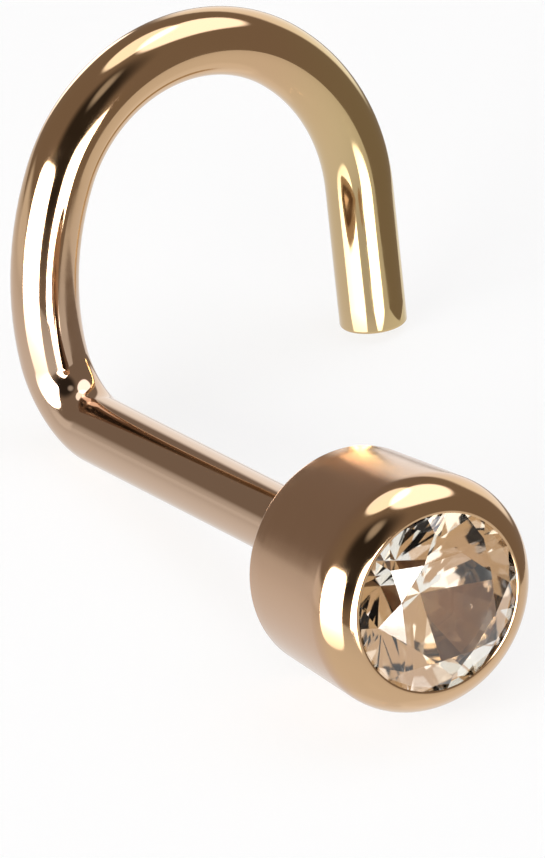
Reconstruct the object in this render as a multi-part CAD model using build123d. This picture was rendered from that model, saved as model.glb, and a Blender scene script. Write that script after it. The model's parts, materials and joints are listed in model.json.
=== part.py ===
from build123d import *
from math import atan, cos, degrees, radians, sin, sqrt, tan
import os

# A gold nose stud, lying on a table in the way that it comes to rest by itself.
#
# A clear round stone sits in a gold cup, under a lip that is rolled over its edge. A round wire is
# soldered to the back of the cup. It runs straight for the thickness of the nostril, turns a tight
# corner and curls round in an open hook, which holds the stud in from the inside of the nose.
#
# Units are millimetres. The stud is first made upright: the wall of the cup ends in the XY plane,
# the stone faces +Z and the post runs down -Z. It is then laid down on the three places that carry
# it, which are the back edge of the cup, the corner of the wire and the tip of its tail. After that
# +Z is up, the stone faces -Y, and the origin is on the table, under the middle of the stud's box.

# The wire: a straight post, a corner, and a hook of three bends with a straight tail.
WIRE_DIAMETER = 0.80
POST_LENGTH = 5.44
CORNER_RADIUS = 0.76  # radii are those of the wire's centre line
HOOK_LEAN = 6.2  # degrees that the hook's first stretch leans out, away from the tail
HOOK_BENDS = (
    # radius, turn in degrees
    (3.74, 33.7),
    (1.99, 103.2),
    (2.46, 50.7),
)
TAIL_LENGTH = 1.71
TAIL_ROUNDING = 0.04
SOLDER_DEPTH = 0.20  # how far the wire is let into the back of the cup
SOLDER_FILLET = 0.10

# The cup. Its diameters are those of the sharp corners, before the rounding. The lip's face slopes
# up from the wall to a crest, and a bright cut falls from the crest to the edge over the stone.
CUP_LENGTH = 1.86
CUP_BACK_DIAMETER = 2.61
CUP_FRONT_DIAMETER = 2.83
BACK_ROUNDING = 0.077
LIP_ROUNDING = 0.47
LIP_SLOPE = 24.0
CREST_DIAMETER = 2.14
CREST_HEIGHT = 0.13
CREST_ROUNDING = 0.07
LIP_OPENING = 2.08
LIP_EDGE_HEIGHT = 0.12
BORE_DIAMETER = 1.50
BACK_WALL = 0.50

# The stone: a round brilliant. Heights are measured from the top of its girdle.
STONE_DIAMETER = 2.30
TABLE_SHARE = 0.56  # the table's width between corners, as a share of the diameter
CROWN_SLOPE = 34.3
PAVILION_SLOPE = 41.0
GIRDLE_HEIGHT = 0.08
STAR_REACH = 0.50  # how far a star facet reaches from the table's edge towards the girdle
LOWER_REACH = 0.77  # how far a lower girdle facet reaches from the girdle towards the point
STONE_GAP = 0.02
STONE_TURN = 22.5  # degrees about the stone's axis

TABLE_ROUNDS = 20  # of improving the resting plane, which settles after a few

WIRE_RADIUS = WIRE_DIAMETER / 2
LIP_RADIUS = LIP_OPENING / 2
CREST_RADIUS = CREST_DIAMETER / 2
BORE_RADIUS = BORE_DIAMETER / 2
TAPER = (CUP_FRONT_DIAMETER - CUP_BACK_DIAMETER) / 2 / CUP_LENGTH

# The main facets meet in ridges. The star facets end on the crown's ridges and the lower girdle
# facets on the pavilion's. The chords join the facets' sixteen corners on the girdle.
MAIN_FACETS = 8
GIRDLE_FACETS = 16
HALF_MAIN = 180 / MAIN_FACETS  # degrees from the middle of a main facet to its ridge
HALF_CHORD = 180 / GIRDLE_FACETS
STONE_RADIUS = STONE_DIAMETER / 2
CHORD_RADIUS = STONE_RADIUS * cos(radians(HALF_CHORD))
TO_RIDGE = cos(radians(HALF_MAIN))
CROWN_HEIGHT = STONE_RADIUS * (1 - TABLE_SHARE) * tan(radians(CROWN_SLOPE))
PAVILION_DEPTH = STONE_RADIUS * tan(radians(PAVILION_SLOPE))
TABLE_EDGE = STONE_RADIUS * TABLE_SHARE * TO_RIDGE
STAR_END = TABLE_EDGE + STAR_REACH * (STONE_RADIUS - TABLE_EDGE)
STAR_END_HEIGHT = (STONE_RADIUS - STAR_END * TO_RIDGE) * tan(radians(CROWN_SLOPE))
LOWER_END = STONE_RADIUS * (1 - LOWER_REACH)
LOWER_END_DEPTH = (STONE_RADIUS - LOWER_END * TO_RIDGE) * tan(radians(PAVILION_SLOPE))

# How steeply the stone's highest and lowest edges leave the girdle, which the cup has to clear.
CROWN_EDGE_RISE = STAR_END_HEIGHT / (STONE_RADIUS - STAR_END)
PAVILION_EDGE_RISE = LOWER_END_DEPTH / (STONE_RADIUS - LOWER_END)


def gap_upright(rise):
    """The height of the stone's gap, measured upright, beside an edge that rises this steeply."""
    return STONE_GAP * sqrt(1 + rise**2)


def girdle_top():
    """The height of the girdle's top when the crown lies a gap below the lip's inner edge."""
    crown_at_lip = (STONE_RADIUS - LIP_RADIUS) * CROWN_EDGE_RISE
    return LIP_EDGE_HEIGHT - gap_upright(CROWN_EDGE_RISE) - crown_at_lip


def cut_facets(stone, slope, first_azimuth, count, radius, height):
    """Cut a ring of flat facets on the stone.

    slope is the angle of a facet's outward normal from straight up, so it is over 90 degrees
    below the girdle. Each facet passes through the point at this radius and height.
    """
    upward = Vector(0, 0, 1)
    tilt = radians(slope)
    for index in range(count):
        azimuth = radians(first_azimuth + index * 360 / count)
        outward = Vector(cos(azimuth), sin(azimuth), 0)
        facet = Plane(
            origin=outward * radius + upward * height,
            z_dir=outward * sin(tilt) + upward * cos(tilt),
        )
        stone = split(stone, bisect_by=facet, keep=Keep.BOTTOM)
    return stone


def make_stone():
    """A round brilliant with its girdle's top at the height zero."""
    bottom = -GIRDLE_HEIGHT - PAVILION_DEPTH
    blank = extrude(Plane.XY.offset(bottom) * Circle(STONE_RADIUS), CROWN_HEIGHT - bottom)

    star_fall = (CROWN_HEIGHT - STAR_END_HEIGHT) / (STAR_END - TABLE_EDGE)
    to_chord = cos(radians(HALF_CHORD))
    tiers = (
        # slope, azimuth of the first facet, count, radius, height
        (CROWN_SLOPE, 0, MAIN_FACETS, STONE_RADIUS, 0),
        (degrees(atan(star_fall)), HALF_MAIN, MAIN_FACETS, TABLE_EDGE, CROWN_HEIGHT),
        (degrees(atan(CROWN_EDGE_RISE / to_chord)), HALF_CHORD, GIRDLE_FACETS, CHORD_RADIUS, 0),
        (180 - PAVILION_SLOPE, 0, MAIN_FACETS, STONE_RADIUS, -GIRDLE_HEIGHT),
        (
            180 - degrees(atan(PAVILION_EDGE_RISE / to_chord)),
            HALF_CHORD,
            GIRDLE_FACETS,
            CHORD_RADIUS,
            -GIRDLE_HEIGHT,
        ),
    )
    stone = blank
    for tier in tiers:
        stone = cut_facets(stone, *tier)
    return stone


def round_corner(profile, corner, radius):
    """Round the corner of a flat profile that lies nearest to a point."""
    return fillet(profile.vertices().sort_by_distance(corner)[0], radius)


def make_cup():
    """The cup, turned about Z: a tapered barrel, a rolled lip, a seat for the stone and a bore."""
    seat_radius = STONE_RADIUS + STONE_GAP
    under_lip = LIP_EDGE_HEIGHT - (seat_radius - LIP_RADIUS) * CROWN_EDGE_RISE
    girdle_bottom = girdle_top() - GIRDLE_HEIGHT

    def seat_height(radius):
        stone_depth = (STONE_RADIUS - radius) * PAVILION_EDGE_RISE
        return girdle_bottom - stone_depth - gap_upright(PAVILION_EDGE_RISE)

    slope = tan(radians(LIP_SLOPE))
    wall_at_crest = CUP_FRONT_DIAMETER / 2 + CREST_HEIGHT * TAPER
    face_width = (wall_at_crest - CREST_RADIUS) / (1 + slope * TAPER)
    back_corner = (CUP_BACK_DIAMETER / 2, -CUP_LENGTH)
    front_corner = (CREST_RADIUS + face_width, CREST_HEIGHT - face_width * slope)
    crest = (CREST_RADIUS, CREST_HEIGHT)
    outline = Polyline(
        (0, -CUP_LENGTH),
        back_corner,
        front_corner,
        crest,
        (LIP_RADIUS, LIP_EDGE_HEIGHT),
        (seat_radius, under_lip),
        (seat_radius, seat_height(seat_radius)),
        (BORE_RADIUS, seat_height(BORE_RADIUS)),
        (BORE_RADIUS, BACK_WALL - CUP_LENGTH),
        (0, BACK_WALL - CUP_LENGTH),
        close=True,
    )
    profile = round_corner(make_face(outline), back_corner, BACK_ROUNDING)
    profile = round_corner(profile, front_corner, LIP_ROUNDING)
    profile = round_corner(profile, crest, CREST_ROUNDING)
    return revolve(Plane.XZ * profile, Axis.Z)


def straight(start, heading, length):
    """A straight run of the wire's centre line, and where it ends."""
    end = start + heading * length
    return Line(start, end), end


def along_arc(start, heading, side, radius, turn):
    """The place, the heading and the side after an arc that turns from heading towards side."""
    angle = radians(turn)
    place = start + heading * (radius * sin(angle)) + side * (radius * (1 - cos(angle)))
    new_heading = heading * cos(angle) + side * sin(angle)
    new_side = side * cos(angle) - heading * sin(angle)
    return place, new_heading, new_side


def bend(start, heading, side, radius, turn):
    """An arc of the centre line, with the place, the heading and the side where it ends."""
    middle, _, _ = along_arc(start, heading, side, radius, turn / 2)
    end, new_heading, new_side = along_arc(start, heading, side, radius, turn)
    return ThreePointArc(start, middle, end), end, new_heading, new_side


def wire_route():
    """The wire's centre line, and the places on it that can touch the table.

    Returns the edges, the corner as (start, heading, side), and the tip as (place, heading).
    """
    down = Vector(0, 0, -1)
    lean = radians(HOOK_LEAN)
    upright = Vector(-sin(lean), cos(lean), 0)
    tailward = Vector(cos(lean), sin(lean), 0)

    start = Vector(0, 0, SOLDER_DEPTH - CUP_LENGTH)
    post, corner_start = straight(start, down, SOLDER_DEPTH + POST_LENGTH)
    corner, place, heading, _ = bend(corner_start, down, upright, CORNER_RADIUS, 90)
    edges = [post, corner]

    side = tailward
    for radius, turn in HOOK_BENDS:
        arc, place, heading, side = bend(place, heading, side, radius, turn)
        edges.append(arc)
    tail, tip = straight(place, heading, TAIL_LENGTH)
    edges.append(tail)
    return edges, (corner_start, down, upright), (tip, heading)


def make_wire(edges):
    """A round wire swept along its centre line, with the rim of its cut end rounded."""
    path = Wire(edges)
    section = Plane(origin=path @ 0, z_dir=path % 0) * Circle(WIRE_RADIUS)
    wire = sweep(section, path=path)
    rim = wire.edges().filter_by(GeomType.CIRCLE).sort_by_distance(path @ 1)[0]
    return fillet(rim, TAIL_ROUNDING)


def make_metal(edges):
    """The cup and the wire in one piece, with a small fillet of solder round the joint."""
    metal = make_cup() + make_wire(edges)
    joint = metal.edges().filter_by(GeomType.CIRCLE).sort_by_distance((0, 0, -CUP_LENGTH))[0]
    return fillet(joint, SOLDER_FILLET)


def lowest_of_ring(centre, axis, ring_radius, rounding, up):
    """The lowest point of a rounded circular edge, whose rounding has its middle on the ring."""
    level = up - axis * up.dot(axis)
    return centre - level.normalized() * ring_radius - up * rounding


def find_contacts(corner, tip, up):
    """The lowest points of the cup's back edge, of the wire's corner and of its tip."""
    ring_radius = CUP_BACK_DIAMETER / 2 + BACK_ROUNDING * (TAPER - sqrt(1 + TAPER**2))
    ring_centre = Vector(0, 0, BACK_ROUNDING - CUP_LENGTH)
    cup_point = lowest_of_ring(ring_centre, Vector(0, 0, 1), ring_radius, BACK_ROUNDING, up)

    start, heading, side = corner
    level_at = degrees(atan(-heading.dot(up) / side.dot(up)))
    lowest, _, _ = along_arc(start, heading, side, CORNER_RADIUS, level_at)
    corner_point = lowest - up * WIRE_RADIUS

    place, heading = tip
    ring_centre = place - heading * TAIL_ROUNDING
    ring_radius = WIRE_RADIUS - TAIL_ROUNDING
    tip_point = lowest_of_ring(ring_centre, heading, ring_radius, TAIL_ROUNDING, up)
    return cup_point, corner_point, tip_point


def find_table(corner, tip):
    """The plane of the table, with its Y axis pointing away from the side that the stone faces."""
    up = Vector(0, 1, 0)
    for _ in range(TABLE_ROUNDS):
        cup_point, corner_point, tip_point = find_contacts(corner, tip, up)
        normal = (corner_point - cup_point).cross(tip_point - cup_point).normalized()
        up = normal if normal.dot(up) > 0 else -normal
    backward = up * up.Z - Vector(0, 0, 1)
    return Plane(origin=cup_point, x_dir=backward.cross(up), z_dir=up)


edges, corner, tip = wire_route()
table = find_table(corner, tip)
stone = Location((0, 0, girdle_top()), (0, 0, STONE_TURN)) * make_stone()
pieces = {
    "setting_and_screw": table.to_local_coords(make_metal(edges)),
    "stone": table.to_local_coords(stone),
}

box = Compound(list(pieces.values())).bounding_box()
to_origin = Location((-box.center().X, -box.center().Y, 0))

os.makedirs("parts", exist_ok=True)
for name, piece in pieces.items():
    placed = to_origin * piece
    print(name, "volume", round(placed.volume, 3), "mm3, box", placed.bounding_box())
    export_step(placed, f"parts/{name}.step")
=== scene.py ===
# %% [markdown]
# # A gold nose stud with a clear stone
#
# This lesson builds the looks of a small piece of body jewellery round its imported CAD model. The
# stud is two pieces: the metal, which is a turned cup with a bent wire soldered to its back, and a
# faceted stone held under the cup's rolled lip.
#
# The imported model is the fixed frame. Everything is in metres and in the same place as the CAD, so
# nothing has to be fitted by eye.

# %% Load the frame
import json
from math import atan, cos, pi, radians, sin, tan

import bmesh
import bpy
from mathutils import Matrix, Vector


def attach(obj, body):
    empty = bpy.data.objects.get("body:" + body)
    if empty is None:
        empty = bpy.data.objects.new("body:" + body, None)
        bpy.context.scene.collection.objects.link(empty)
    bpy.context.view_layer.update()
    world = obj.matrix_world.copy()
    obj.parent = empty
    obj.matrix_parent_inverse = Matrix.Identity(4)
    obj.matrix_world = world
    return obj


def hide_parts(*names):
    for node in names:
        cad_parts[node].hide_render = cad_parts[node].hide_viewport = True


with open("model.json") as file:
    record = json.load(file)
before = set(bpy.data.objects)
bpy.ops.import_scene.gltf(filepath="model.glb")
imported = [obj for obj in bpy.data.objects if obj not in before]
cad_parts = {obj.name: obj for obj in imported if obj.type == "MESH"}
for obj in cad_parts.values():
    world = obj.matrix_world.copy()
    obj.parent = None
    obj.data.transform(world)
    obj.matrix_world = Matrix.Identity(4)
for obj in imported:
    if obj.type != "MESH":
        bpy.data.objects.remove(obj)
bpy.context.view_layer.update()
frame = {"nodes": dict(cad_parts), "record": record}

MM = 0.001
print("CAD nodes:", sorted(frame["nodes"]))

# %% [markdown]
# ## The bench the stud is made on
#
# A goldsmith doesn't make a stud in the pose it later lies in. The cup is turned upright, and the
# wire is bent from there, so the sizes are simple in an upright frame: the cup's wall ends at
# height zero, the stone faces +Z and the post runs down -Z. The record's mounts say where that
# frame lies. The post's own line gives the Z axis, and the flat patch on the cup's back the Y axis.

# %% Find the bench frame from the mounts
CUP_LENGTH = 1.86  # all sizes on the bench are in millimetres
SOLDER_FILLET = 0.10

mounts = {row["name"]: row for row in frame["record"]["mounts"]}
post_middle = Vector(mounts["piercing_post"]["pos_m"])
bench_z = -Vector(mounts["piercing_post"]["axis"]).normalized()
to_patch = Vector(mounts["cup_back"]["pos_m"]) - post_middle
bench_y = (to_patch - bench_z * to_patch.dot(bench_z)).normalized()
bench_x = bench_y.cross(bench_z)

half_post = mounts["piercing_post"]["dims"]["length_mm"] / 2
lip_centre = post_middle + bench_z * (half_post + SOLDER_FILLET + CUP_LENGTH) * MM
bench = Matrix.Translation(lip_centre) @ Matrix((bench_x, bench_y, bench_z)).transposed().to_4x4()
from_bench = bench @ Matrix.Scale(MM, 4)
print("lip centre, mm:", [round(value / MM, 4) for value in lip_centre])

# %% [markdown]
# ## The outline of the cup
#
# The cup is round, so half of its section says everything about it. It could be cut from a
# cylinder with a dozen insets, but a lathe does it in one go, and so does a spin. The half section
# starts as one point, which is pushed from corner to corner. It runs from the middle of the bore
# up the seat to the edge over the stone, over the lip's crest, down its sloping face and down the
# barrel, and in to the wire, where solder makes a small fillet.

# %% Draw the half section
BORE_RADIUS, BORE_FLOOR = 0.75, -1.36
SEAT_RADIUS, SEAT_TOP, SEAT_BOTTOM = 1.17, -0.0882, -0.4616
UNDER_LIP = 0.0101
LIP_RADIUS, LIP_EDGE = 1.04, 0.12
CREST_RADIUS, CREST_HEIGHT, CREST_ROUNDING = 1.07, 0.13, 0.07
LIP_SLOPE, LIP_ROUNDING = radians(24), 0.47
FRONT_RADIUS, BACK_RADIUS = 1.415, 1.305  # of the barrel's straight side, at its two ends
BACK_ROUNDING = 0.077
WIRE_RADIUS = 0.40

barrel_rise = (FRONT_RADIUS - BACK_RADIUS) / CUP_LENGTH
wall_at_crest = FRONT_RADIUS + CREST_HEIGHT * barrel_rise
face_width = (wall_at_crest - CREST_RADIUS) / (1 + tan(LIP_SLOPE) * barrel_rise)
face_edge = (CREST_RADIUS + face_width, CREST_HEIGHT - face_width * tan(LIP_SLOPE))


def push_point(bm, point, radius, height):
    """Pull a new point out of this one, with an edge between them, and move it to its place."""
    pulled = bmesh.ops.extrude_vert_indiv(bm, verts=[point])["verts"][0]
    pulled.co = (radius, 0, height)
    return pulled


metal = bmesh.new()
point = metal.verts.new((0, 0, BORE_FLOOR))
for radius, height in (
    (BORE_RADIUS, BORE_FLOOR),
    (BORE_RADIUS, SEAT_BOTTOM),
    (SEAT_RADIUS, SEAT_TOP),
    (SEAT_RADIUS, UNDER_LIP),
    (LIP_RADIUS, LIP_EDGE),
):
    point = push_point(metal, point, radius, height)
crest = push_point(metal, point, CREST_RADIUS, CREST_HEIGHT)
front_corner = push_point(metal, crest, *face_edge)
back_corner = push_point(metal, front_corner, BACK_RADIUS, -CUP_LENGTH)
solder_corner = push_point(metal, back_corner, WIRE_RADIUS, -CUP_LENGTH)
push_point(metal, solder_corner, WIRE_RADIUS, -CUP_LENGTH - 2 * SOLDER_FILLET)
print("corners of the half section:", len(metal.verts))

# %% [markdown]
# Real edges are never sharp. The lip is rolled over the stone and polished, so its shoulder has a
# large rounding and its crest a small one. The back corner is only eased with a file, and the
# solder flows into a hollow corner. A bevel on the corner points rounds all four. Its offset is
# measured along the sides, so it comes from the radius and from the angle that the outline turns
# through at that corner.

# %% Round the corners
def round_corner(bm, corner, radius, turn, segments):
    """Round one corner of an outline that turns through this angle there."""
    bmesh.ops.bevel(
        bm, geom=[corner], offset=radius * tan(turn / 2), offset_type="OFFSET",
        affect="VERTICES", segments=segments, profile=0.5, material=-1,
    )


taper = atan(barrel_rise)
cut_angle = atan((CREST_HEIGHT - LIP_EDGE) / (CREST_RADIUS - LIP_RADIUS))
round_corner(metal, crest, CREST_ROUNDING, cut_angle + LIP_SLOPE, 8)
round_corner(metal, front_corner, LIP_ROUNDING, pi / 2 + taper - LIP_SLOPE, 14)
round_corner(metal, back_corner, BACK_ROUNDING, pi / 2 - taper, 6)
round_corner(metal, solder_corner, SOLDER_FILLET, pi / 2, 6)
print("taper of the barrel, degrees:", round(taper * 180 / pi, 2))

# %% [markdown]
# A long smooth face next to a small rounding would carry the rounding's shading far along the
# barrel. So the outline's long sides get a few more points first, and then the whole outline is
# spun once round the Z axis. The first and last copies are merged, and so are the points that all
# land on the axis, in the middle of the bore's floor.

# %% Spin the cup
SIDES = 128  # round the cup and the wire
LONG_SIDE = 0.30

long_sides = [edge for edge in metal.edges if edge.calc_length() > LONG_SIDE]
bmesh.ops.subdivide_edges(metal, edges=long_sides, cuts=5)
bmesh.ops.spin(
    metal, geom=metal.verts[:] + metal.edges[:], cent=(0, 0, 0), axis=(0, 0, 1),
    dvec=(0, 0, 0), angle=2 * pi, steps=SIDES, use_merge=True, use_duplicate=False,
)
bmesh.ops.remove_doubles(metal, verts=metal.verts, dist=1e-5)
print("faces of the cup:", len(metal.faces))

# %% [markdown]
# ## The bent wire
#
# The wire is 0.8 mm drawn gold wire. It runs straight for the thickness of the nostril, turns a
# tight corner, and is then bent cold round a mandrel in an open hook that holds the stud in from
# the inside. A curve object with a round bevel would make such a wire, but it would be a second
# piece that only touches the cup. Here the wire grows out of the ring that the spin left open at
# the solder, so metal and solder are one skin: the ring is pushed along for each straight run, and
# spun round the bend's centre for each bend.

# %% Helpers that lead the open ring along
def open_ring(bm):
    """The edges of the one ring that is still open."""
    return [edge for edge in bm.edges if edge.is_boundary]


def run_straight(bm, wire, length, steps=1):
    """Push the open ring along its heading, leaving the wire's wall behind it."""
    for _ in range(steps):
        pushed = bmesh.ops.extrude_edge_only(bm, edges=open_ring(bm))["geom"]
        points = [item for item in pushed if isinstance(item, bmesh.types.BMVert)]
        bmesh.ops.translate(bm, verts=points, vec=wire["heading"] * (length / steps))
    wire["place"] += wire["heading"] * length


def run_bend(bm, wire, radius, turn):
    """Spin the open ring round a bend, towards the wire's side, and turn its headings too."""
    ring = open_ring(bm)
    points = list({point for edge in ring for point in edge.verts})
    centre = wire["place"] + wire["side"] * radius
    axis = wire["heading"].cross(wire["side"])
    bmesh.ops.spin(
        bm, geom=ring + points, cent=centre, axis=axis, dvec=(0, 0, 0), angle=radians(turn),
        steps=max(2, round(turn / DEGREES_A_STEP)), use_merge=False, use_duplicate=False,
    )
    turned = Matrix.Rotation(radians(turn), 3, axis)
    wire["place"] = centre + turned @ (wire["place"] - centre)
    wire["heading"] = turned @ wire["heading"]
    wire["side"] = turned @ wire["side"]


# %% Lead the wire from the solder to the tip
POST_LENGTH = 5.44
CORNER_RADIUS = 0.76  # bends are measured to the wire's centre line
HOOK_LEAN = 6.2  # degrees that the hook's first stretch leans out, away from the tail
HOOK_BENDS = ((3.74, 33.7), (1.99, 103.2), (2.46, 50.7))  # radius, turn in degrees
TAIL_LENGTH = 1.71
DEGREES_A_STEP = 2.5

lean = radians(HOOK_LEAN)
wire = {
    "place": Vector((0, 0, -CUP_LENGTH - 2 * SOLDER_FILLET)),
    "heading": Vector((0, 0, -1)),
    "side": Vector((-sin(lean), cos(lean), 0)),
}
run_straight(metal, wire, POST_LENGTH - 2 * SOLDER_FILLET, steps=12)
run_bend(metal, wire, CORNER_RADIUS, 90)
wire["side"] = Vector((cos(lean), sin(lean), 0))  # the hook's own bends turn another way
for radius, turn in HOOK_BENDS:
    run_bend(metal, wire, radius, turn)
run_straight(metal, wire, TAIL_LENGTH, steps=6)
print("tip of the wire on the bench, mm:", [round(value, 3) for value in wire["place"]])

# %% [markdown]
# The tip is cut square and its rim is eased, so that it doesn't scratch. The last ring is filled,
# and its rim is bevelled. Smooth shading then makes the metal look round. The few edges that really
# are sharp, round the lip and in the seat, are marked, so that the shading breaks there.

# %% Close the tip and mark the sharp edges
TIP_ROUNDING = 0.04
SHARP_ANGLE = radians(25)

rim = open_ring(metal)
bmesh.ops.edgeloop_fill(metal, edges=rim)
bmesh.ops.bevel(
    metal, geom=rim, offset=TIP_ROUNDING, offset_type="OFFSET", affect="EDGES",
    segments=5, profile=0.5, material=-1,
)
bmesh.ops.recalc_face_normals(metal, faces=metal.faces)
for face in metal.faces:
    face.smooth = True
for edge in metal.edges:
    edge.smooth = edge.calc_face_angle(0) < SHARP_ANGLE
print("open edges:", len(open_ring(metal)), "volume, mm3:", round(metal.calc_volume(signed=True), 3))

# %% [markdown]
# The patterns of the finishes follow the lathe and the wire, not the pose on the table. So each
# point first writes down where it was made, in millimetres on the bench, as an attribute of the
# mesh. Only then does the metal move to its place in the frame. The object itself stays at the
# origin, unturned, and stands for the CAD metal.

# %% Lay the metal in its place
made_at = metal.verts.layers.float_vector.new("made_at")
for point in metal.verts:
    point[made_at] = point.co
bmesh.ops.transform(metal, matrix=from_bench, verts=metal.verts)

metal_mesh = bpy.data.meshes.new("gold_setting_and_wire")
metal.to_mesh(metal_mesh)
metal.free()
gold_piece = bpy.data.objects.new("gold_setting_and_wire", metal_mesh)
bpy.context.scene.collection.objects.link(gold_piece)

steady_shading = gold_piece.modifiers.new("steady_shading", "WEIGHTED_NORMAL")
steady_shading.keep_sharp = True

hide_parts("setting_and_screw")
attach(gold_piece, "root")
print("faces of the metal:", len(metal_mesh.polygons))

# %% [markdown]
# ## The camera
#
# The stud is seen from its stone's side, from a little above, through a long lens that hardly shows
# any perspective. The camera is turned slightly about its own line of sight. It faces the stud as
# the lamps will, so all of them are placed by two angles and a roll.

# %% Helpers for directions round the stud
def aim_direction(azimuth, elevation):
    """The direction out from the stud at two angles in degrees. Azimuth 0 is -Y and 90 is +X."""
    a, e = radians(azimuth), radians(elevation)
    return Vector((sin(a) * cos(e), -cos(a) * cos(e), sin(e)))


def facing_axes(azimuth, elevation, roll):
    """The right, up and outward axes of something there that faces the stud, after its roll."""
    outward = aim_direction(azimuth, elevation)
    across = Vector((cos(radians(azimuth)), sin(radians(azimuth)), 0))
    turn = Matrix.Rotation(radians(roll), 3, outward)
    return turn @ across, turn @ outward.cross(across), outward


# %% Set up the camera
AZIMUTH, ELEVATION, ROLL = -30.56, 30.22, -3.41
DISTANCE = 172.70 * MM
LENS, SENSOR = 629.4, 36  # in millimetres, and the sensor is its long side
AIM_RIGHT, AIM_UP = -0.978 * MM, 1.052 * MM  # where the line of sight passes the origin

lens = bpy.data.cameras.new("camera")
lens.lens = LENS
lens.sensor_width = SENSOR
lens.clip_start, lens.clip_end = 0.01, 2.0
camera = bpy.data.objects.new("camera", lens)
right, up, outward = facing_axes(AZIMUTH, ELEVATION, ROLL)
camera_place = right * AIM_RIGHT + up * AIM_UP + outward * DISTANCE
camera_turn = Matrix((right, up, outward)).transposed().to_4x4()
camera.matrix_world = Matrix.Translation(camera_place) @ camera_turn
bpy.context.scene.collection.objects.link(camera)
bpy.context.scene.camera = camera
print("camera at, mm:", [round(value / MM, 1) for value in camera.matrix_world.translation])

# %% [markdown]
# ## The gold
#
# Polished gold has no colour of its own apart from its tint on what it mirrors, so a metallic
# surface with a low roughness does it. The wire and the lip are polished to a mirror. The barrel is
# left satin: a lathe or a brush has gone round it, and the fine rings blur what it mirrors. The tint
# isn't even either, and part of it is painted light. The cup is rosy and the post is paler. The
# hook's warmer tone and the tail's yellow are a painted reflection tint: they stand in for the warm
# light that those stretches of the wire mirror. The lip's brighter gold is a painted highlight. Each
# tone fades softly into the next.

# %% Helpers for material nodes
def new_material(name):
    """A material with nodes, its node tree and its one surface shader."""
    material = bpy.data.materials.new(name)
    material.use_nodes = True
    return material, material.node_tree, material.node_tree.nodes["Principled BSDF"]


def add_node(tree, kind, inputs=None, **settings):
    """Add a node, set its properties, and set or link its inputs."""
    node = tree.nodes.new(kind)
    for key, value in settings.items():
        setattr(node, key, value)
    for key, value in (inputs or {}).items():
        if isinstance(value, bpy.types.NodeSocket):
            tree.links.new(value, node.inputs[key])
        else:
            node.inputs[key].default_value = value
    return node


def ramp(tree, value, start, end, low=0.0, high=1.0):
    """A soft step from low to high, as the value goes from start to end."""
    node = add_node(
        tree, "ShaderNodeMapRange",
        {"Value": value, "From Min": start, "From Max": end, "To Min": low, "To Max": high},
        interpolation_type="SMOOTHSTEP",
    )
    return node.outputs["Result"]


def calculate(tree, operation, first, second):
    """The result of one sum with two values."""
    return add_node(tree, "ShaderNodeMath", {0: first, 1: second}, operation=operation).outputs[0]


def blend(tree, share, first, second, data_type="RGBA"):
    """A mix of two colours or two numbers, with this share of the second."""
    node = add_node(
        tree, "ShaderNodeMix", {"Factor": share, "A": first, "B": second}, data_type=data_type,
    )
    return node.outputs["Result"]


# %% The gold material
# The hook's and the tail's tones are a painted reflection tint, and the lip's brighter gold is a
# painted highlight.
ROSE_GOLD = (0.555, 0.365, 0.238, 1)  # of the cup
PALE_GOLD = (0.565, 0.40, 0.283, 1)  # of the post and the corner
HOOK_PAINTED_TINT = (0.595, 0.395, 0.225, 1)  # of the hook
TAIL_PAINTED_TINT = (0.60, 0.455, 0.228, 1)  # of the tail
LIP_PAINTED_HIGHLIGHT = (0.605, 0.40, 0.228, 1)  # of the lip, a brighter copy of the gold: a painted highlight
HOOK_PAINTED_TINT_STARTS = (0.8, 3.2)  # along Y on the bench, from the old tone to the new one
TAIL_PAINTED_TINT_STARTS = (2.9, 4.4)  # along X
CUP_STARTS = (-1.95, -1.80)  # along Z
LIP_PAINTED_HIGHLIGHT_STARTS = (-0.30, -0.10)  # along Z

gold, tree, shader = new_material("gold")
shader.inputs["Metallic"].default_value = 1.0
place = add_node(tree, "ShaderNodeAttribute", attribute_name="made_at").outputs["Vector"]
along = add_node(tree, "ShaderNodeSeparateXYZ", {"Vector": place}).outputs
from_axis = add_node(tree, "ShaderNodeCombineXYZ", {"X": along["X"], "Y": along["Y"]})
from_axis = add_node(tree, "ShaderNodeVectorMath", {0: from_axis.outputs[0]}, operation="LENGTH")
radius, height = from_axis.outputs["Value"], along["Z"]

on_cup = ramp(tree, height, *CUP_STARTS)
# Painted light: the hook's and the tail's tints stand in for mirrored warm light, and the lip's
# brighter gold for its highlight.
tone = blend(tree, ramp(tree, along["Y"], *HOOK_PAINTED_TINT_STARTS), PALE_GOLD, HOOK_PAINTED_TINT)
tone = blend(tree, ramp(tree, along["X"], *TAIL_PAINTED_TINT_STARTS), tone, TAIL_PAINTED_TINT)
tone = blend(tree, on_cup, tone, ROSE_GOLD)
tone = blend(tree, ramp(tree, height, *LIP_PAINTED_HIGHLIGHT_STARTS), tone, LIP_PAINTED_HIGHLIGHT)
tree.links.new(tone, shader.inputs["Base Color"])
print("tones of the wire:", PALE_GOLD[:3], HOOK_PAINTED_TINT[:3], TAIL_PAINTED_TINT[:3])
print("tones of the cup:", ROSE_GOLD[:3], LIP_PAINTED_HIGHLIGHT[:3])

# %% [markdown]
# The finish is told by where the metal was made. Fine rings go round the outside of the barrel,
# which blur it unevenly from ring to ring. Polished parts have soft smears of a cloth. Inside the
# cup nothing was polished, because the stone hides it, and the rough gold glows through the stone.

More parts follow.
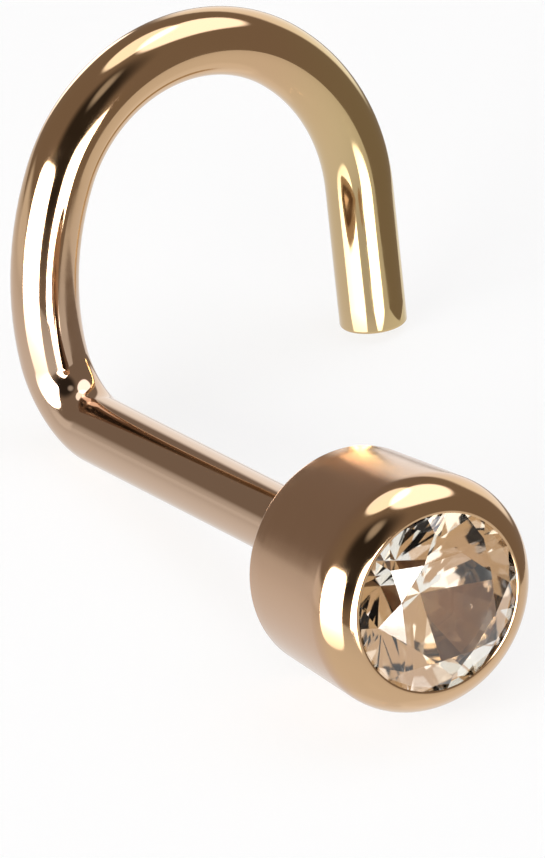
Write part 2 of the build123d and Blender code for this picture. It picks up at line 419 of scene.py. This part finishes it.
# %% The gold's finish
MIRROR, SATIN, RAW = (0.04, 0.10), (0.14, 0.21), (0.42, 0.58)  # least and most roughness
NOISE_SPREAD = (0.3, 0.7)  # where nearly all values of a noise lie
SATIN_TOP, SATIN_RADIUS = (-0.20, -0.34), (1.20, 1.24)  # from none of the finish to all of it
RAW_TOP, RAW_RADIUS = (0.06, 0.03), (1.18, 1.175)

on_barrel = calculate(tree, "MULTIPLY", on_cup, ramp(tree, height, *SATIN_TOP))
satin = calculate(tree, "MULTIPLY", on_barrel, ramp(tree, radius, *SATIN_RADIUS))
under_stone = calculate(tree, "MULTIPLY", on_cup, ramp(tree, radius, *RAW_RADIUS))
under_stone = calculate(tree, "MULTIPLY", under_stone, ramp(tree, height, *RAW_TOP))

rings = add_node(tree, "ShaderNodeMapping", {"Vector": place, "Scale": (1.5, 1.5, 60)}).outputs[0]
rings = add_node(
    tree, "ShaderNodeTexNoise", {"Vector": rings, "Scale": 1.0, "Detail": 3.0, "Roughness": 0.6},
).outputs[0]
smears = add_node(
    tree, "ShaderNodeTexNoise", {"Vector": place, "Scale": 2.5, "Detail": 2.0},
).outputs[0]
mirror_finish = ramp(tree, smears, *NOISE_SPREAD, *MIRROR)
satin_finish = ramp(tree, rings, *NOISE_SPREAD, *SATIN)
raw_finish = ramp(tree, smears, *NOISE_SPREAD, *RAW)
finish = blend(tree, satin, mirror_finish, satin_finish, "FLOAT")
finish = blend(tree, under_stone, finish, raw_finish, "FLOAT")
tree.links.new(finish, shader.inputs["Roughness"])
gold_piece.data.materials.append(gold)
print("finishes of the gold: mirror on the wire and lip, satin on the barrel, raw under the stone")

# %% [markdown]
# ## The stone
#
# The stone is kept from the CAD model, because its facets are already flat and sharp, as the cutter
# leaves them. A clear stone shows almost nothing of itself. Everything in it is bent and mirrored
# light from the lamps, the paper and the gold round it. Its high bending power sends most of what
# enters back out to the front. Its cream tint is painted light: it stands in for the warm light that
# the gold round it throws into the stone. Real stones aren't quite even: the tint drifts a little
# from side to side, towards a paler rosy one, and the polish of the facets isn't perfect either.

# %% The stone's material
STONE_IOR = 1.95
# The cream tint is painted light: it stands in for the warm light that the gold throws into the
# stone.
CREAM_PAINTED_WARM_LIGHT = (1.0, 0.95, 0.77, 1)
ROSY_TINT = (0.98, 0.95, 0.93, 1)
TINT_DRIFT = 900.0  # changes in a metre, so about one in each millimetre
FACET_POLISH = (0.03, 0.08)  # least and most roughness

stone = frame["nodes"]["stone"]
clear_stone, tree, shader = new_material("clear_stone")
shader.inputs["Transmission Weight"].default_value = 1.0
shader.inputs["IOR"].default_value = STONE_IOR
place = add_node(tree, "ShaderNodeTexCoord").outputs["Object"]
drift = add_node(
    tree, "ShaderNodeTexNoise", {"Vector": place, "Scale": TINT_DRIFT, "Detail": 1.0},
).outputs[0]
# The tint drifts at random between the painted cream light and a paler rosy tone.
tint = blend(tree, ramp(tree, drift, 0.35, 0.65), CREAM_PAINTED_WARM_LIGHT, ROSY_TINT)
tree.links.new(tint, shader.inputs["Base Color"])
tree.links.new(ramp(tree, drift, *NOISE_SPREAD, *FACET_POLISH), shader.inputs["Roughness"])
stone.data.materials.clear()
stone.data.materials.append(clear_stone)
print("the stone's bending power:", STONE_IOR)

# %% [markdown]
# ## The paper under the stud
#
# Small jewellery is shown on white paper that is lit until it is as white as the background.
# The paper here is a small disc that catches the stud's soft shadow. Straight looks at it also get
# a share of plain glow, which lifts it to the white of the background, so its rim hardly shows. The
# polished gold doesn't mirror this disc. It mirrors the sheet that comes next.

# %% The floor
FLOOR_RADIUS = 16 * MM
PAPER_GLOW = 0.80  # share of a straight look that is plain glow
PAPER_WHITE = (0.90, 0.90, 0.90, 1)

floor_mesh = bpy.data.meshes.new("floor")
disc = bmesh.new()
bmesh.ops.create_circle(disc, cap_ends=True, segments=96, radius=FLOOR_RADIUS)
disc.to_mesh(floor_mesh)
disc.free()
floor = bpy.data.objects.new("floor", floor_mesh)
bpy.context.scene.collection.objects.link(floor)
floor.visible_glossy = False

paper, tree, shader = new_material("white_paper")
tree.nodes.remove(shader)
rays = add_node(tree, "ShaderNodeLightPath").outputs
matt = add_node(tree, "ShaderNodeBsdfDiffuse", {"Color": PAPER_WHITE}).outputs[0]
glow = add_node(tree, "ShaderNodeEmission", {"Color": (1, 1, 1, 1), "Strength": 1.0}).outputs[0]
straight_look = calculate(tree, "MAXIMUM", rays["Is Camera Ray"], rays["Is Transmission Ray"])
share = calculate(tree, "MULTIPLY", straight_look, PAPER_GLOW)
plain = add_node(tree, "ShaderNodeMixShader", {0: share, 1: matt, 2: glow}).outputs[0]
tree.links.new(plain, tree.nodes["Material Output"].inputs["Surface"])
floor.data.materials.append(paper)
print("floor radius, mm:", round(FLOOR_RADIUS / MM, 1), "share of glow:", PAPER_GLOW)

# %% [markdown]
# A jewellery table is often a sheet of white acrylic: a plain white below, with a glossy skin on
# top that mirrors the lamps faintly. It lies a little deeper than the paper, so that the stud
# doesn't stand in its own light, and only mirrored looks find it. Its near and right edges are
# close by, and past them the mirrored floor turns into the dim room.

# %% The glossy sheet under the floor
SHEET_DEPTH = 6 * MM
SHEET_LEFT, SHEET_RIGHT = -160 * MM, 15.5 * MM
SHEET_FRONT, SHEET_BACK = -36 * MM, 80 * MM
SHEET_GLOW = 0.97  # of the plain white below the glossy skin
SKIN_IOR, SKIN_POLISH = 1.5, 0.03

sheet_mesh = bpy.data.meshes.new("glossy_sheet")
sheet = bmesh.new()
bmesh.ops.create_grid(sheet, x_segments=1, y_segments=1, size=0.5)
sheet_size = Vector((SHEET_RIGHT - SHEET_LEFT, SHEET_BACK - SHEET_FRONT, 1))
sheet_middle = Vector((SHEET_LEFT + SHEET_RIGHT, SHEET_FRONT + SHEET_BACK, -2 * SHEET_DEPTH)) / 2
bmesh.ops.scale(sheet, vec=sheet_size, verts=sheet.verts)
bmesh.ops.translate(sheet, vec=sheet_middle, verts=sheet.verts)
sheet.to_mesh(sheet_mesh)
sheet.free()
glossy_sheet = bpy.data.objects.new("glossy_sheet", sheet_mesh)
for way in ("camera", "diffuse", "transmission", "shadow"):
    setattr(glossy_sheet, "visible_" + way, False)
bpy.context.scene.collection.objects.link(glossy_sheet)

acrylic, tree, shader = new_material("white_acrylic")
tree.nodes.remove(shader)
white = add_node(
    tree, "ShaderNodeEmission", {"Color": (1, 1, 1, 1), "Strength": SHEET_GLOW},
).outputs[0]
skin = add_node(
    tree, "ShaderNodeBsdfGlossy", {"Color": (1, 1, 1, 1), "Roughness": SKIN_POLISH},
).outputs[0]
mirrored = add_node(tree, "ShaderNodeFresnel", {"IOR": SKIN_IOR}).outputs[0]
coated = add_node(tree, "ShaderNodeMixShader", {0: mirrored, 1: white, 2: skin}).outputs[0]
tree.links.new(coated, tree.nodes["Material Output"].inputs["Surface"])
sheet_mesh.materials.append(acrylic)
print("sheet, mm:", [round(value / MM) for value in sheet_size[:2]], "deep:", SHEET_DEPTH / MM)

# %% [markdown]
# ## The lamps
#
# Polished metal is a picture of the room, so each lamp is a card of a certain size in a certain
# direction. Two large windows of light stand left and in front, with a dark gap between them, where
# the viewer is. Round lamps hang high on the right and high behind, a faint one hangs above the
# viewer, and weak panels fill the back. Every card fades out at its edges, as a cloth in front of
# a lamp does.
#
# What metal mirrors has to be bright, but the same cards would flood the paper. So each card shows
# its full strength only to mirrored looks, and a share of it to matt surfaces. That keeps the light
# on matt surfaces plain: something painted half grey comes out half grey. Through the stone a card
# is hardly brighter than white, because each facet passes on only a part of what reaches it.

# %% Make a soft lamp
STUDIO_CENTRE = Vector((0, 0, 2.3 * MM))
LAMP_DISTANCE = 200 * MM
FILL_SHARE = 0.70  # of a lamp's strength that matt surfaces get
THROUGH_STONE = 1.05  # the most that a lamp shows through the stone, a little over white


def lamp_material(name, half_width, half_height, strength, tint, edge, roundness):
    """A glow that fades to clear at the card's edges. A high roundness makes it square."""
    material, tree, shader = new_material(name)
    tree.nodes.remove(shader)
    spot = add_node(tree, "ShaderNodeTexCoord").outputs["Object"]
    to_edge = (1 / half_width, 1 / half_height, 0)
    spot = add_node(tree, "ShaderNodeVectorMath", {0: spot, 1: to_edge}, operation="MULTIPLY")
    spot = add_node(tree, "ShaderNodeVectorMath", {0: spot.outputs[0]}, operation="ABSOLUTE")
    sides = add_node(tree, "ShaderNodeSeparateXYZ", {0: spot.outputs[0]}).outputs
    sideways = calculate(tree, "POWER", sides["X"], roundness)
    upright = calculate(tree, "POWER", sides["Y"], roundness)
    reach = calculate(tree, "POWER", calculate(tree, "ADD", sideways, upright), 1 / roundness)
    glow = ramp(tree, reach, 1.0, 1.0 - edge, 0.0, strength)

    rays = add_node(tree, "ShaderNodeLightPath").outputs
    share = ramp(tree, rays["Is Glossy Ray"], 0.0, 1.0, FILL_SHARE, 1.0)
    through_stone = min(1.0, THROUGH_STONE / strength)
    share = blend(tree, rays["Is Transmission Ray"], share, through_stone, "FLOAT")
    glow = calculate(tree, "MULTIPLY", glow, share)
    light = add_node(tree, "ShaderNodeEmission", {"Color": tint, "Strength": glow}).outputs[0]
    clear = add_node(tree, "ShaderNodeBsdfTransparent").outputs[0]
    both = add_node(tree, "ShaderNodeAddShader", {0: light, 1: clear}).outputs[0]
    tree.links.new(both, tree.nodes["Material Output"].inputs["Surface"])
    return material


def soft_lamp(
    name, azimuth, elevation, width, height, strength,
    tint=(1, 1, 1, 1), edge=0.12, roundness=4.0, roll=0,
):
    """A glowing card that faces the stud, this many degrees wide and high, with soft edges."""
    half_width = LAMP_DISTANCE * tan(radians(width / 2))
    half_height = LAMP_DISTANCE * tan(radians(height / 2))
    card = bmesh.new()
    bmesh.ops.create_grid(card, x_segments=1, y_segments=1, size=1)
    bmesh.ops.scale(card, vec=(half_width, half_height, 1), verts=card.verts)
    mesh = bpy.data.meshes.new(name)
    card.to_mesh(mesh)
    card.free()
    mesh.materials.append(
        lamp_material(name, half_width, half_height, strength, tint, edge, roundness)
    )

    right, up, outward = facing_axes(azimuth, elevation, roll)
    lamp = bpy.data.objects.new(name, mesh)
    lamp_turn = Matrix((right, up, outward)).transposed().to_4x4()
    lamp.matrix_world = Matrix.Translation(STUDIO_CENTRE + outward * LAMP_DISTANCE) @ lamp_turn
    lamp.visible_camera = False
    bpy.context.scene.collection.objects.link(lamp)
    print(name, "degrees:", azimuth, elevation, "strength:", strength)


# %% [markdown]
# Each lamp has its azimuth and elevation, its width and height in degrees, and its strength. The
# two windows are by far the strongest. The lamp above is softer and a little cool, and the weak
# panels give the back of the wire its soft grey sheen.

# %% Hang the lamps
COOL = (0.90, 0.96, 1.0, 1)
PALE_LILAC = (0.84, 0.88, 1.0, 1)

soft_lamp("window_left", -79, 5, 58, 50, 16.0)
soft_lamp("window_front", -8, -3, 36, 42, 16.0, roll=-22)
soft_lamp("lamp_above", 80, 61, 52, 54, 2.5, tint=PALE_LILAC, edge=0.2, roundness=2.0)
soft_lamp("lamp_behind", 160, 74, 42, 42, 1.9, tint=COOL, edge=0.2, roundness=2.0)
soft_lamp("lamp_small", -26, 58, 26, 26, 0.5, edge=0.7, roundness=2.0)
soft_lamp("panel_right", 129, 6, 60, 46, 1.1, tint=COOL, edge=0.3)
soft_lamp("panel_left", -128, -2, 52, 26, 0.7, tint=COOL, edge=0.6)
soft_lamp("strip_back", 170, -4, 20, 30, 2.8, edge=0.3)

# %% [markdown]
# ## The room
#
# Between the lamps the metal mirrors a dim, warm room. It is a large ball round everything, open
# at the bottom, and it is darkest behind the viewer. The open bottom lets the white of the world in
# from below the table, and past the edges of the sheet. What reaches the eye through the stone has
# been thrown to and fro between facets and gold, so there the room is one even golden haze.

# %% The room
ROOM_RADIUS = 1.3 * LAMP_DISTANCE
ROOM_BOTTOM = radians(-25)  # elevation, as seen from the stud
VIEWER = aim_direction(-34, 38)
WARM_WALLS = (1, 0.83, 0.70, 1)
WALLS_GLOW, DARK_GLOW = 0.28, 0.04  # away from the viewer, and behind the viewer
DARK_EDGE = (0.72, 0.93)  # the dark part's soft edge, as cosines of the angle to the viewer
GOLDEN_HAZE = (1, 0.62, 0.34, 1)
HAZE_GLOW = 0.58

room_mesh = bpy.data.meshes.new("room")
ball = bmesh.new()
bmesh.ops.create_uvsphere(ball, u_segments=48, v_segments=32, radius=ROOM_RADIUS)
bmesh.ops.bisect_plane(
    ball, geom=ball.verts[:] + ball.edges[:] + ball.faces[:],
    plane_co=(0, 0, ROOM_RADIUS * sin(ROOM_BOTTOM)), plane_no=(0, 0, 1), clear_inner=True,
)
bmesh.ops.translate(ball, vec=STUDIO_CENTRE, verts=ball.verts)
ball.to_mesh(room_mesh)
ball.free()
room = bpy.data.objects.new("room", room_mesh)
room.visible_camera = False
bpy.context.scene.collection.objects.link(room)

dim, tree, shader = new_material("dim_room")
tree.nodes.remove(shader)
spot = add_node(tree, "ShaderNodeTexCoord").outputs["Object"]
spot = add_node(tree, "ShaderNodeVectorMath", {0: spot}, operation="NORMALIZE").outputs[0]
facing = add_node(tree, "ShaderNodeVectorMath", {0: spot, 1: VIEWER}, operation="DOT_PRODUCT")
level = ramp(tree, facing.outputs["Value"], *DARK_EDGE, WALLS_GLOW, DARK_GLOW)
mirrored = add_node(
    tree, "ShaderNodeEmission", {"Color": WARM_WALLS, "Strength": level},
).outputs[0]
through_stone = add_node(
    tree, "ShaderNodeEmission", {"Color": GOLDEN_HAZE, "Strength": HAZE_GLOW},
).outputs[0]
rays = add_node(tree, "ShaderNodeLightPath").outputs
shown = add_node(
    tree, "ShaderNodeMixShader", {0: rays["Is Transmission Ray"], 1: mirrored, 2: through_stone},
).outputs[0]
tree.links.new(shown, tree.nodes["Material Output"].inputs["Surface"])
room.data.materials.append(dim)
print("room radius, mm:", round(ROOM_RADIUS / MM))

# %% [markdown]
# ## The white background
#
# The world is plain white wherever it is looked at, straight, mirrored or through the stone. For
# matt surfaces it gives only half of that, because the lamps give the rest.

# %% The world
world = bpy.data.worlds.new("white_studio")
bpy.context.scene.world = world
world.use_nodes = True
tree = world.node_tree
rays = add_node(tree, "ShaderNodeLightPath").outputs
seen = calculate(tree, "MAXIMUM", rays["Is Camera Ray"], rays["Is Glossy Ray"])
seen = calculate(tree, "MAXIMUM", seen, rays["Is Transmission Ray"])
background = tree.nodes["Background"]
background.inputs["Color"].default_value = (1, 1, 1, 1)
tree.links.new(ramp(tree, seen, 0.0, 1.0, 0.5, 1.0), background.inputs["Strength"])
bpy.context.scene.view_settings.view_transform = "Standard"
